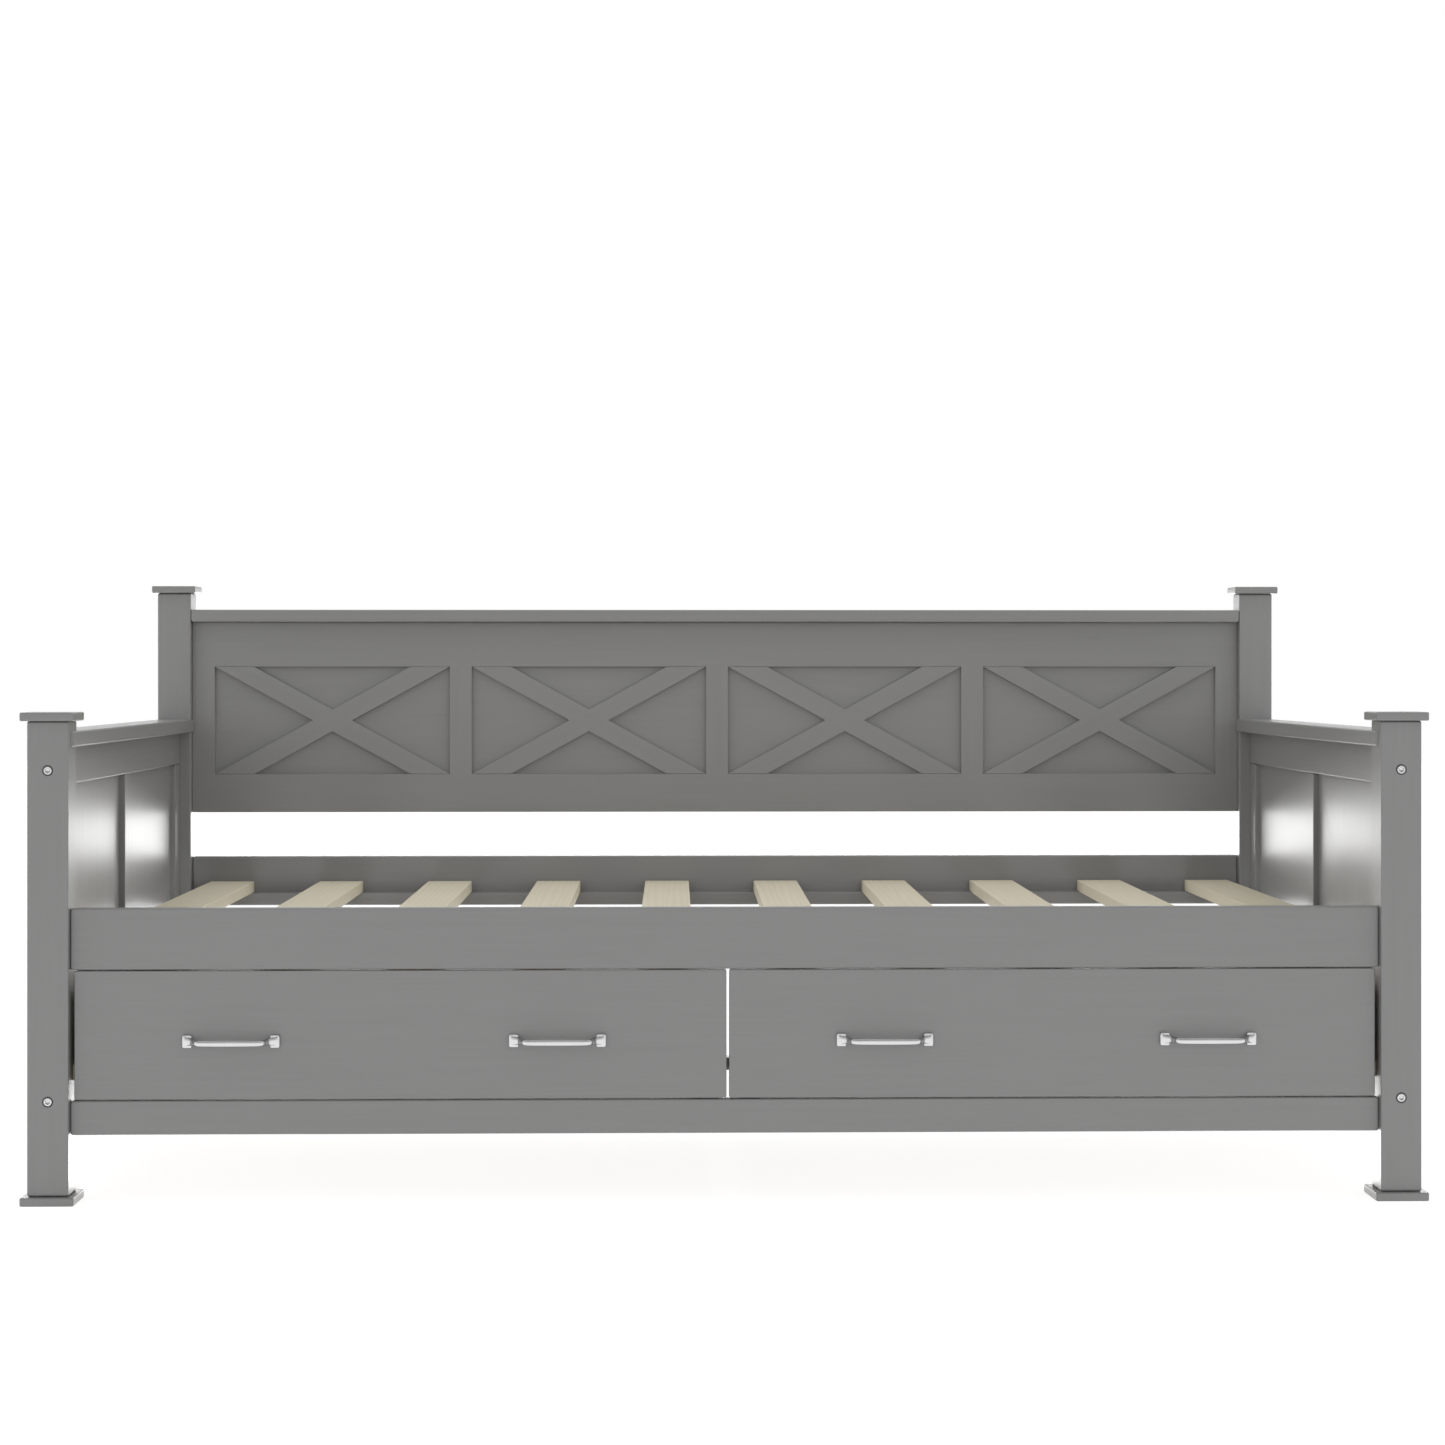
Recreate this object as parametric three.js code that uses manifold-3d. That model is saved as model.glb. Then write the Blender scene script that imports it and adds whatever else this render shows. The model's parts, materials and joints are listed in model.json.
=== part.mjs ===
// Storage daybed: a twin bed frame with panelled arms, an X-braced back, ten slats and two drawers.
// Millimetres, +Z up, the open front faces -Y. The origin is on the floor, under the middle of the
// bed's box from the pulls to the rear feet. All pieces are first laid out about the middle of the posts.

import * as THREE from 'three';
import { mergeVertices } from 'three/addons/utils/BufferGeometryUtils.js';
import Module from 'manifold-3d';

// Fits
const clearance = 0.3; // left between neighbouring pieces
const overrun = 2; // how far a cutter runs past the face it opens

// Whole bed, over the posts
const bedLength = 2044;
const bedDepth = 1120;
const frontHeight = 719; // floor to the top of a front post's cap
const rearHeight = 934.6;

// Posts, their caps and feet
const postSide = 60;
const postEdge = 2;
const plateThick = 12.6;
const plateLip = 9.4; // a plate stands this far past its post
const plateEdge = 2;

// Side frames
const sideInset = 20; // inner face of a side rail behind the post's inner face
const sideFrameThick = 26;
const upperRailHeight = 57.8;
const lowerRailBottom = 100.6;
const lowerRailHeight = 99.6;
const railEdge = 2.5;
const stileWidth = 42;
const stileEdge = 1.5;
const sidePanelThick = 8;
const sidePanelRecess = 9.5;
const tongueDepth = 8;

// Arm caps
const armDrop = 28; // top of an arm under the top of the front post's cap
const armCapThick = 23.4;
const armCapLip = 3.2; // past each face of the posts
const armCapFrontSetback = 18; // behind the front face of the front post
const armCapRearReach = 18; // past the front face of the rear post
const armCapEdge = 3;

// Back
const backDrop = 42.8; // top rail under the tops of the rear caps
const backTopRailHeight = 22.5;
const backGap = 81.1; // open, between the rear slat rail and the back
const backRecess = 20; // face frame behind the front of the rear posts
const faceFrameThick = 9.3;
const backBoardThick = 9;
const fieldMarginBelowShare = 0.2007; // of the height of the back
const fieldMarginAboveShare = 0.2337;
const fieldCount = 4;
const fieldStileWidth = 40.6;
const braceBarWidth = 35;

// Front and rear rails
const longRailThick = 20;
const longRailHeight = 90.1;
const frontRailTop = 432.2;
const rearRailLift = 7.3; // rear rail above the front one
const frontRailRecess = 12; // behind the front face of the posts
const frontLowerRailHeight = 50.2;
const tenonLength = 12;
const tenonShoulder = 5;

// Cleats and slats
const cleatDepth = 25;
const cleatHeight = 22;
const cleatRise = 9.9; // above the underside of the front rail
const slatCount = 10;
const slatWidth = 80;
const slatThick = 20;
const slatRowMargin = 26.5; // at each end of the row
const slatRowShift = 7.5;
const slatEndGap = 4;
const slatEdge = 1.5;

// Drawer fronts
const drawerFrontThick = 18;
const drawerEndGap = 6.3; // to the post
const drawerMiddleGap = 3.9;
const drawerRailGap = 1.5;
const drawerFrontEdge = 1.2;

// Drawer boxes
const boxWall = 12;
const boxDepth = 500;
const boxOuterInset = 12; // box behind the outer end of its front
const boxInnerInset = 22;
const boxHeadroom = 34; // under the front rail
const bottomThick = 6;
const bottomRise = 12; // above the lower edge of the walls
const bottomGroove = 6;

// Runners and beam
const runnerRise = 35.2; // running face above the front lower rail
const ledgeThick = 8;
const ledgeReach = 14; // past the inner face of the box wall
const guideHeight = 15;
const guideSlack = 1;
const viewSlot = 27; // free slot between the two centre runners
const beamBottom = 119.4;
const beamHeight = 20.6;
const beamDepth = 30;

// Pulls
const pullHoleSpacing = 128;
const pullSpacingShare = 0.5; // of the drawer front's length
const pullRowShift = -9.5;
const pullDrop = 8.7; // under the middle of the drawer front
const pullReach = 28;
const pullBarHeight = 8;
const pullBarDepth = 7;
const pullBarSwellShare = 0.2;
const pullFootWidth = 14;
const pullFootHeight = 19;
const pullFootThick = 5;
const pullFootEdge = 1.6;

// Bolts
const boltHeadDiameter = 13.6;
const boltHeadThick = 5;
const boltHeadEdge = 0.8;
const boltSeatDiameter = 16.3;
const boltSeatDepth = 5.6;
const boltShankDiameter = 6;
const boltEngagement = 32;
const boltSocketWidth = 5;
const boltSocketDepth = 3;
const boltUpperDrop = 32.9; // under the top of the upper side rail
const boltLowerRise = 50.4; // above the underside of the lower side rail

// Shares of a local size, and counts
const cornerShare = 1.6; // corner radius of a board, of its eased edge
const pullSteps = 36;
const pullHalfSides = 5; // facets of each half of the bar's oval
const roundSides = 16;

// Places on the pull's bow, from a foot to the middle: shares of half its spacing and of its reach
const bowShares = [
  [1, 0], [1, 0.1], [0.95, 0.2], [0.86, 0.34], [0.81, 0.52], [0.79, 0.7],
  [0.757, 0.85], [0.7, 0.95], [0.6, 0.993], [0.45, 1], [0, 1],
];

// Lines that several pieces share
const postInnerX = bedLength / 2 - postSide;
const postCentreX = bedLength / 2 - postSide / 2;
const frontPostFace = -bedDepth / 2;
const frontPostRear = frontPostFace + postSide;
const rearPostRear = bedDepth / 2;
const rearPostFace = rearPostRear - postSide;
const sideRailInnerX = postInnerX + sideInset;
const sideRailOuterX = sideRailInnerX + sideFrameThick;
const sidePanelInnerX = sideRailInnerX + sidePanelRecess;
const sidePanelOuterX = sidePanelInnerX + sidePanelThick;
const upperRailTop = frontHeight - armDrop - armCapThick - clearance;
const upperRailBottom = upperRailTop - upperRailHeight;
const lowerRailTop = lowerRailBottom + lowerRailHeight;
const frontRailBottom = frontRailTop - longRailHeight;
const frontRailFace = frontPostFace + frontRailRecess;
const frontRailRear = frontRailFace + longRailThick;
const frontLowerRailTop = lowerRailBottom + frontLowerRailHeight;
const backFace = rearPostFace + backRecess;
const cleatBottom = frontRailBottom + cleatRise;
const cleatTop = cleatBottom + cleatHeight;
const rearRailTop = frontRailTop + rearRailLift;
const backBottom = rearRailTop + backGap;
const backTopRailTop = rearHeight - backDrop;
const backTopRailBottom = backTopRailTop - backTopRailHeight;
const slatPitch = ((postInnerX - slatRowMargin) * 2 - slatWidth) / (slatCount - 1);
const boardFront = backFace + faceFrameThick + clearance;
const boardRear = boardFront + backBoardThick;
const drawerOuterX = postInnerX - drawerEndGap;
const drawerInnerX = drawerMiddleGap / 2;
const boxOuterX = drawerOuterX - boxOuterInset;
const boxInnerX = drawerInnerX + boxInnerInset;
const drawerFrontBottom = frontLowerRailTop + drawerRailGap;
const drawerFrontTop = frontRailBottom - drawerRailGap;
const boxFront = frontRailFace + drawerFrontThick + clearance;
const boxRear = boxFront + boxDepth;
const runnerTop = frontLowerRailTop + runnerRise;
const boxBottom = runnerTop + clearance;
const boxTop = frontRailBottom - boxHeadroom;
const beamTop = beamBottom + beamHeight;
const beamRear = beamDepth / 2;

// Materials
function finish(color, roughness, metalness) {
  return new THREE.MeshStandardMaterial({ color, roughness, metalness });
}

const greyPaint = finish(0x7c7c7c, 0.42, 0);
const rawPine = finish(0xc9bfa4, 0.78, 0);
const boxPine = finish(0xcdb78e, 0.7, 0);
const nickel = finish(0xc4c4c6, 0.28, 1);

const wasm = await Module();
wasm.setup();

// Joins and cuts closed geometries, with only positions kept.
function solidOf(geometry) {
  const bare = geometry.clone();
  bare.deleteAttribute('normal');
  bare.deleteAttribute('uv');
  const merged = mergeVertices(bare);
  return new wasm.Manifold(new wasm.Mesh({
    numProp: 3,
    vertProperties: new Float32Array(merged.attributes.position.array),
    triVerts: new Uint32Array(merged.index.array),
  }));
}

function geometryOf(solid) {
  const { vertProperties, triVerts } = solid.getMesh();
  const geometry = new THREE.BufferGeometry();
  geometry.setAttribute('position', new THREE.BufferAttribute(vertProperties, 3));
  geometry.setIndex(new THREE.BufferAttribute(triVerts, 1));
  geometry.computeVertexNormals();
  return geometry;
}

function join(...geometries) {
  return geometryOf(geometries.map(solidOf).reduce((whole, piece) => whole.add(piece)));
}

function cut(geometry, ...cutters) {
  return geometryOf(cutters.map(solidOf).reduce((whole, piece) => whole.subtract(piece), solidOf(geometry)));
}

// A prism along one axis. Its outline lies in the plane of the other two, x before y before z.
const planes = {
  x: [new THREE.Vector3(0, 1, 0), new THREE.Vector3(0, 0, 1)],
  y: [new THREE.Vector3(1, 0, 0), new THREE.Vector3(0, 0, 1)],
  z: [new THREE.Vector3(1, 0, 0), new THREE.Vector3(0, 1, 0)],
};

function prism(outline, axis, from, to, edge = 0) {
  const [across, up] = planes[axis];
  const along = across.clone().cross(up);
  const forward = along.x + along.y + along.z > 0;
  const start = along.clone().multiplyScalar(forward ? from + edge : -(to - edge));
  const geometry = new THREE.ExtrudeGeometry(outline, {
    depth: to - from - edge * 2,
    bevelEnabled: edge > 0,
    bevelThickness: edge,
    bevelSize: edge,
    bevelOffset: -edge,
    bevelSegments: 2,
    curveSegments: 1,
  });
  return geometry.applyMatrix4(new THREE.Matrix4().makeBasis(across, up, along).setPosition(start));
}

function polygon(points) {
  return new THREE.Shape(points.map(([a, b]) => new THREE.Vector2(a, b)));
}

function rectangle([left, bottom], [right, top]) {
  return polygon([[left, bottom], [right, bottom], [right, top], [left, top]]);
}

function roundedRectangle([left, bottom], [right, top], radius) {
  const shape = new THREE.Shape();
  shape.absarc(right - radius, bottom + radius, radius, -Math.PI / 2, 0);
  shape.absarc(right - radius, top - radius, radius, 0, Math.PI / 2);
  shape.absarc(left + radius, top - radius, radius, Math.PI / 2, Math.PI);
  shape.absarc(left + radius, bottom + radius, radius, Math.PI, Math.PI * 1.5);
  return shape;
}

// Ranges are [from, to] and may be given in either order, so that one function serves both sides.
const ordered = ([a, b]) => [Math.min(a, b), Math.max(a, b)];
const mirror = (side, a, b) => ordered([side * a, side * b]);
const inward = ([a, b], gap = clearance) => [a + gap, b - gap];
const outward = ([a, b], gap = clearance) => [a - gap, b + gap];

function block(x, y, z) {
  return prism(rectangle([x[0], y[0]], [x[1], y[1]]), 'z', z[0], z[1]);
}

// A board with every edge eased. It is thin along the named axis.
function board(x, y, z, thin, edge) {
  const ranges = { x, y, z };
  const [first, second] = Object.keys(ranges).filter((axis) => axis !== thin).map((axis) => ranges[axis]);
  const outline = roundedRectangle([first[0], second[0]], [first[1], second[1]], edge * cornerShare);
  return prism(outline, thin, ranges[thin][0], ranges[thin][1], edge);
}

function rod(x, z, diameter, y, sides = roundSides) {
  const length = y[1] - y[0];
  const geometry = new THREE.CylinderGeometry(diameter / 2, diameter / 2, length, sides);
  return geometry.translate(x, y[0] + length / 2, z);
}

const daybed = new THREE.Group();
const frame = new THREE.Group();
daybed.add(frame);

function add(group, name, geometry, material) {
  const mesh = new THREE.Mesh(geometry, material);
  mesh.name = name;
  group.add(mesh);
  return mesh;
}

// Stub tenons at both ends of a long rail, and the mortises that take them.
const tenonY = ([front, rear]) => inward([front, rear], tenonShoulder);
const tenonZ = ([bottom, top]) => inward([bottom, top], tenonShoulder);

function longRail(y, z, edge) {
  const length = [-(postInnerX - clearance), postInnerX - clearance];
  const tenons = [-(postInnerX + tenonLength), postInnerX + tenonLength];
  return join(board(length, y, z, 'y', edge), block(tenons, tenonY(y), tenonZ(z)));
}

function mortise(side, y, z) {
  const x = mirror(side, postInnerX - overrun, postInnerX + tenonLength + clearance);
  return block(x, outward(tenonY(y)), outward(tenonZ(z)));
}

const frontUpperRailY = [frontRailFace, frontRailRear];
const frontUpperRailZ = [frontRailBottom, frontRailTop];
const frontLowerRailZ = [lowerRailBottom, frontLowerRailTop];
const rearRailY = [backFace, backFace + longRailThick];
const rearRailZ = [rearRailTop - longRailHeight, rearRailTop];
const backTopRailY = [rearPostFace, rearPostRear];
const backTopRailZ = [backTopRailBottom, backTopRailTop];
const backBoardZ = [backBottom, backTopRailBottom + tongueDepth];

// Bolts run through the front posts into the ends of the side rails.
function boltHole(x, z) {
  const seat = rod(x, z, boltSeatDiameter, [frontPostFace - overrun, frontPostFace + boltSeatDepth]);
  const shankEnd = frontPostRear + boltEngagement + clearance * 2;
  return [seat, rod(x, z, boltShankDiameter + clearance * 2, [frontPostFace, shankEnd])];
}

const boltHeights = { upper: upperRailTop - boltUpperDrop, lower: lowerRailBottom + boltLowerRise };

function boltHolesOf(side) {
  return Object.values(boltHeights).flatMap((z) => boltHole(side * postCentreX, z));
}

function bolt(x, z) {
  const seat = frontPostFace + boltSeatDepth - clearance;
  const face = seat - boltHeadThick;
  const radius = boltHeadDiameter / 2;
  const profile = [
    [0, 0], [radius, 0], [radius, boltHeadThick - boltHeadEdge], [radius - boltHeadEdge, boltHeadThick],
    [0, boltHeadThick],
  ];
  const head = new THREE.LatheGeometry(profile.map(([r, h]) => new THREE.Vector2(r, h)), roundSides);
  head.rotateX(Math.PI).translate(x, seat, z);
  const shank = rod(x, z, boltShankDiameter, [seat - boltHeadThick / 2, frontPostRear + boltEngagement]);
  const socketDiameter = boltSocketWidth / Math.cos(Math.PI / 6);
  const socket = rod(x, z, socketDiameter, [face - overrun, face + boltSocketDepth], 6);
  return cut(join(head, shank), socket);
}

// Posts
function post(side, y, height) {
  const x = mirror(side, postInnerX, bedLength / 2);
  return board(x, y, [plateThick + clearance, height - plateThick - clearance], 'x', postEdge);
}

function plate(side, y, bottom) {
  const x = outward(mirror(side, postInnerX, bedLength / 2), plateLip);
  return board(x, outward(y, plateLip), [bottom, bottom + plateThick], 'z', plateEdge);
}

function backBoardGroove(side) {
  const x = mirror(side, postInnerX - overrun, postInnerX + tongueDepth + clearance);
  return block(x, outward([boardFront, boardRear]), outward(backBoardZ));
}

function addPosts() {
  const frontY = [frontPostFace, frontPostRear];
  const rearY = [rearPostFace, rearPostRear];
  for (const [name, side] of [['left', -1], ['right', 1]]) {
    const frontPost = cut(
      post(side, frontY, frontHeight),
      mortise(side, frontUpperRailY, frontUpperRailZ),
      mortise(side, frontUpperRailY, frontLowerRailZ),
      ...boltHolesOf(side),
    );
    const rearPost = cut(
      post(side, rearY, rearHeight),
      mortise(side, rearRailY, rearRailZ),
      mortise(side, backTopRailY, backTopRailZ),
      backBoardGroove(side),
    );
    add(frame, `front_${name}_post`, frontPost, greyPaint);
    add(frame, `rear_${name}_post`, rearPost, greyPaint);
    add(frame, `front_${name}_post_foot`, plate(side, frontY, 0), greyPaint);
    add(frame, `rear_${name}_post_foot`, plate(side, rearY, 0), greyPaint);
    add(frame, `front_${name}_post_cap`, plate(side, frontY, frontHeight - plateThick), greyPaint);
    add(frame, `rear_${name}_post_cap`, plate(side, rearY, rearHeight - plateThick), greyPaint);
    for (const [level, z] of Object.entries(boltHeights)) {
      add(frame, `bolt_${name}_${level}`, bolt(side * postCentreX, z), nickel);
    }
  }
}

// Side frames: two rails, a panel with three stiles whose tongues enter the rails, and the arm cap.
const sideY = inward([frontPostRear, rearPostFace]);
const panelZ = inward([lowerRailTop, upperRailBottom]);
const tongueZ = outward([lowerRailTop, upperRailBottom], tongueDepth);

function sideRail(side, z) {
  const groove = block(
    outward(mirror(side, sidePanelInnerX, sidePanelOuterX)),
    outward(sideY, overrun),
    outward(tongueZ),
  );
  const rail = board(mirror(side, sideRailInnerX, sideRailOuterX), sideY, z, 'x', railEdge);
  return cut(rail, groove, ...boltHolesOf(side));
}

function sidePanel(side) {
  const x = mirror(side, sideRailInnerX, sideRailOuterX);
  const panel = block(mirror(side, sidePanelInnerX, sidePanelOuterX), sideY, tongueZ);
  const stiles = [sideY[0] + stileWidth / 2, 0, sideY[1] - stileWidth / 2].map((y) => (
    board(x, [y - stileWidth / 2, y + stileWidth / 2], panelZ, 'x', stileEdge)
  ));
  return join(panel, ...stiles);
}

function armCap(side) {
  const x = outward(mirror(side, postInnerX, bedLength / 2), armCapLip);
  const y = [frontPostFace + armCapFrontSetback, rearPostFace + armCapRearReach];
  const bottom = upperRailTop + clearance;
  const z = [bottom, bottom + armCapThick];
  const notchX = outward(mirror(side, postInnerX, bedLength / 2));
  const notchZ = outward(z, overrun);
  return cut(
    board(x, y, z, 'z', armCapEdge),
    block(notchX, [y[0] - overrun, frontPostRear + clearance], notchZ),
    block(notchX, [rearPostFace - clearance, y[1] + overrun], notchZ),
  );
}

function addSides() {
  for (const [name, side] of [['left', -1], ['right', 1]]) {
    add(frame, `${name}_upper_rail`, sideRail(side, [upperRailBottom, upperRailTop]), greyPaint);
    add(frame, `${name}_lower_rail`, sideRail(side, [lowerRailBottom, lowerRailTop]), greyPaint);
    add(frame, `${name}_side_panel`, sidePanel(side), greyPaint);
    add(frame, `${name}_arm_cap`, armCap(side), greyPaint);
  }
}

// Back: the board is let into the posts and the top rail. On it lie a frame with four windows and,
// in each window, two bars halved across each other, their edges running into the window's corners.
const backHeight = backTopRailBottom - backBottom;
const fieldZ = [
  backBottom + backHeight * fieldMarginBelowShare,
  backTopRailBottom - backHeight * fieldMarginAboveShare,
];
const fieldPitch = (postInnerX * 2 - fieldStileWidth) / fieldCount;

function fieldX(index) {
  const left = -postInnerX + fieldStileWidth + index * fieldPitch;
  return [left, left + fieldPitch - fieldStileWidth];
}

// Length that a diagonal bar takes off the top or bottom edge of a window of this width and height.
function mitreLength(width, height, bar) {
  const square = height ** 2 - bar ** 2;
  const root = Math.sqrt(bar ** 4 * width ** 2 + square * bar ** 2 * (height ** 2 + width ** 2));
  return (root - bar ** 2 * width) / square;
}

function brace([left, right], [bottom, top]) {
  const mitre = mitreLength(right - left, top - bottom, braceBarWidth);
  const falling = [[left, top], [left + mitre, top], [right, bottom], [right - mitre, bottom]];
  const rising = [[left, bottom], [left + mitre, bottom], [right, top], [right - mitre, top]];
  const bar = (points) => prism(polygon(points), 'y', backFace, boardFront - clearance);
  return join(bar(falling), bar(rising));
}

function faceFrame() {
  const y = [backFace, boardFront - clearance];
  const whole = block(inward([-postInnerX, postInnerX]), y, [backBottom, backTopRailBottom - clearance]);
  const windows = Array.from({ length: fieldCount }, (_, index) => (
    block(fieldX(index), outward(y, overrun), fieldZ)
  ));
  return cut(whole, ...windows);
}

function addBack() {
  const boardX = outward([-postInnerX, postInnerX], tongueDepth);
  const boardY = [boardFront, boardRear];
  const topRail = cut(longRail(backTopRailY, backTopRailZ, railEdge), block(
    outward(boardX),
    outward(boardY),
    outward(backBoardZ),
  ));
  add(frame, 'back_top_rail', topRail, greyPaint);
  add(frame, 'back_board', block(boardX, boardY, backBoardZ), greyPaint);
  add(frame, 'back_face_frame', faceFrame(), greyPaint);
  for (let index = 0; index < fieldCount; index += 1) {
    add(frame, `back_brace_${index + 1}`, brace(inward(fieldX(index)), inward(fieldZ)), greyPaint);
  }
}

// Long rails, cleats and slats
function addSlatBed() {
  add(frame, 'front_upper_rail', longRail(frontUpperRailY, frontUpperRailZ, railEdge), greyPaint);
  add(frame, 'front_lower_rail', longRail(frontUpperRailY, frontLowerRailZ, railEdge), greyPaint);
  add(frame, 'rear_slat_rail', longRail(rearRailY, rearRailZ, railEdge), greyPaint);
  const x = inward([-postInnerX, postInnerX]);
  const z = [cleatBottom, cleatTop];
  const frontCleatY = [frontRailRear + clearance, frontRailRear + clearance + cleatDepth];
  const rearCleatY = [backFace - clearance - cleatDepth, backFace - clearance];
  add(frame, 'front_cleat', board(x, frontCleatY, z, 'y', slatEdge), greyPaint);
  add(frame, 'rear_cleat', board(x, rearCleatY, z, 'y', slatEdge), greyPaint);
  const slatY = inward([frontRailRear, backFace], slatEndGap);
  const slatBottom = cleatTop + clearance;
  for (let index = 0; index < slatCount; index += 1) {
    const centre = slatRowShift + (index - (slatCount - 1) / 2) * slatPitch;
    const slatX = [centre - slatWidth / 2, centre + slatWidth / 2];
    const slat = board(slatX, slatY, [slatBottom, slatBottom + slatThick], 'z', slatEdge);
    add(frame, `slat_${String(index + 1).padStart(2, '0')}`, slat, rawPine);
  }
}

// Runners: each has a ledge under the drawer's side and a guide beside it. The outer ones are thin
// angles on the side rails, notched round the front posts, and the centre ones are solid on the beam.
const runnerFront = frontRailRear + clearance;

function addRunners() {
  for (const [name, side] of [['left', -1], ['right', 1]]) {
    const guideX = side * (boxOuterX + guideSlack);
    const ledgeX = side * (boxOuterX - boxWall - ledgeReach);
    const wallX = side * (sideRailInnerX - clearance);
    const ledgeBottom = runnerTop - ledgeThick;
    const outline = polygon([
      [wallX, ledgeBottom], [ledgeX, ledgeBottom], [ledgeX, runnerTop],
      [guideX, runnerTop], [guideX, runnerTop + guideHeight], [wallX, runnerTop + guideHeight],
    ]);
    const postNotch = block(
      mirror(side, postInnerX - clearance, sideRailInnerX),
      [runnerFront - overrun, frontPostRear + clearance],
      [ledgeBottom - overrun, runnerTop + guideHeight + overrun],
    );
    add(frame, `${name}_runner`, cut(prism(outline, 'y', runnerFront, beamRear), postNotch), rawPine);
  }
  const beamX = inward([-sideRailInnerX, sideRailInnerX]);
  const beam = block(beamX, [-beamRear, beamRear], [beamBottom, beamTop]);
  const centreRunners = [-1, 1].map((side) => {
    const slotX = side * viewSlot / 2;
    const guideX = side * (boxInnerX - guideSlack);
    const ledgeX = side * (boxInnerX + boxWall + ledgeReach);
    return prism(polygon([
      [slotX, beamBottom], [ledgeX, beamBottom], [ledgeX, runnerTop],
      [guideX, runnerTop], [guideX, runnerTop + guideHeight], [slotX, runnerTop + guideHeight],
    ]), 'y', runnerFront, beamRear);
  });
  add(frame, 'drawer_beam', join(beam, ...centreRunners), rawPine);
}

// Pull: a flat oval bar on a bow from one foot to the other, a little fuller in the middle.
function bow() {
  const half = bowShares.map(([along, out]) => (
    new THREE.Vector3(-along * pullHoleSpacing / 2, -out * pullReach, 0)
  ));
  const otherHalf = half.slice(0, -1).reverse().map(({ x, y }) => new THREE.Vector3(-x, y, 0));
  return new THREE.CatmullRomCurve3([...half, ...otherHalf]);
}

function pull() {
  const section = new THREE.Shape();
  section.absellipse(0, 0, pullBarHeight / 2, pullBarDepth / 2, 0, Math.PI * 2);
  const bar = new THREE.ExtrudeGeometry(section, {
    steps: pullSteps,
    curveSegments: pullHalfSides,
    bevelEnabled: false,
    extrudePath: bow(),
  });
  const { position } = bar.attributes;
  for (let index = 0; index < position.count; index += 1) {
    const fullness = 1 - (position.getX(index) * 2 / pullHoleSpacing) ** 2;
    const swell = 1 + pullBarSwellShare * fullness;
    position.setZ(index, position.getZ(index) * swell);
  }
  const feet = [-1, 1].map((end) => {
    const x = end * pullHoleSpacing / 2;
    return board(
      [x - pullFootWidth / 2, x + pullFootWidth / 2],
      [-pullFootThick, 0],
      [-pullFootHeight / 2, pullFootHeight / 2],
      'y',
      pullFootEdge,
    );
  });
  bar.translate(0, -clearance, 0);
  return join(bar, ...feet);
}

// Drawers, each in a group of its own that slides out along -Y.
function drawerBox(x) {
  const y = [boxFront, boxRear];
  const z = [boxBottom, boxTop];
  const room = block(inward(x, boxWall), inward(y, boxWall), outward(z, overrun));
  const grooveZ = [boxBottom + bottomRise, boxBottom + bottomRise + bottomThick];
  const groove = block(
    outward(inward(x, boxWall), bottomGroove),
    outward(inward(y, boxWall), bottomGroove),
    outward(grooveZ),
  );
  return cut(block(x, y, z), room, groove);
}

function drawerBottom(x) {
  const insetInGroove = boxWall - bottomGroove + clearance;
  const z = [boxBottom + bottomRise, boxBottom + bottomRise + bottomThick];
  return block(inward(x, insetInGroove), inward([boxFront, boxRear], insetInGroove), z);
}

function addDrawers() {
  for (const [name, side] of [['left', -1], ['right', 1]]) {
    const drawer = new THREE.Group();
    daybed.add(drawer);
    const frontX = mirror(side, drawerInnerX, drawerOuterX);
    const frontY = [frontRailFace, frontRailFace + drawerFrontThick];
    const front = board(frontX, frontY, [drawerFrontBottom, drawerFrontTop], 'y', drawerFrontEdge);
    const boxX = mirror(side, boxInnerX, boxOuterX);
    add(drawer, `${name}_drawer_front`, front, greyPaint);
    add(drawer, `${name}_drawer_box`, drawerBox(boxX), boxPine);
    add(drawer, `${name}_drawer_bottom`, drawerBottom(boxX), boxPine);
    const pullZ = (drawerFrontBottom + drawerFrontTop) / 2 - pullDrop;
    for (const [end, direction] of [['left', -1], ['right', 1]]) {
      const mesh = add(drawer, `${name}_drawer_pull_${end}`, pull(), nickel);
      const centre = (frontX[0] + frontX[1]) / 2 + pullRowShift;
      const aside = (frontX[1] - frontX[0]) * pullSpacingShare / 2;
      mesh.position.set(centre + direction * aside, frontRailFace - clearance, pullZ);
    }
  }
}

const pullFace = frontRailFace - clearance * 2 - pullReach - pullBarDepth / 2;
const rearFootFace = rearPostRear + plateLip;
daybed.position.y = -(pullFace + rearFootFace) / 2;

addPosts();
addSides();
addBack();
addSlatBed();
addRunners();
addDrawers();

export default daybed;
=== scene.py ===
# Storage daybed: painted arms, back and drawers, raw pine slats, nickel pulls, bolts and screws.
# Metres, +Z up, the open front faces -Y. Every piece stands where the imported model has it.
import json
import math

import bmesh
import bpy
from mathutils import Matrix, Vector


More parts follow.
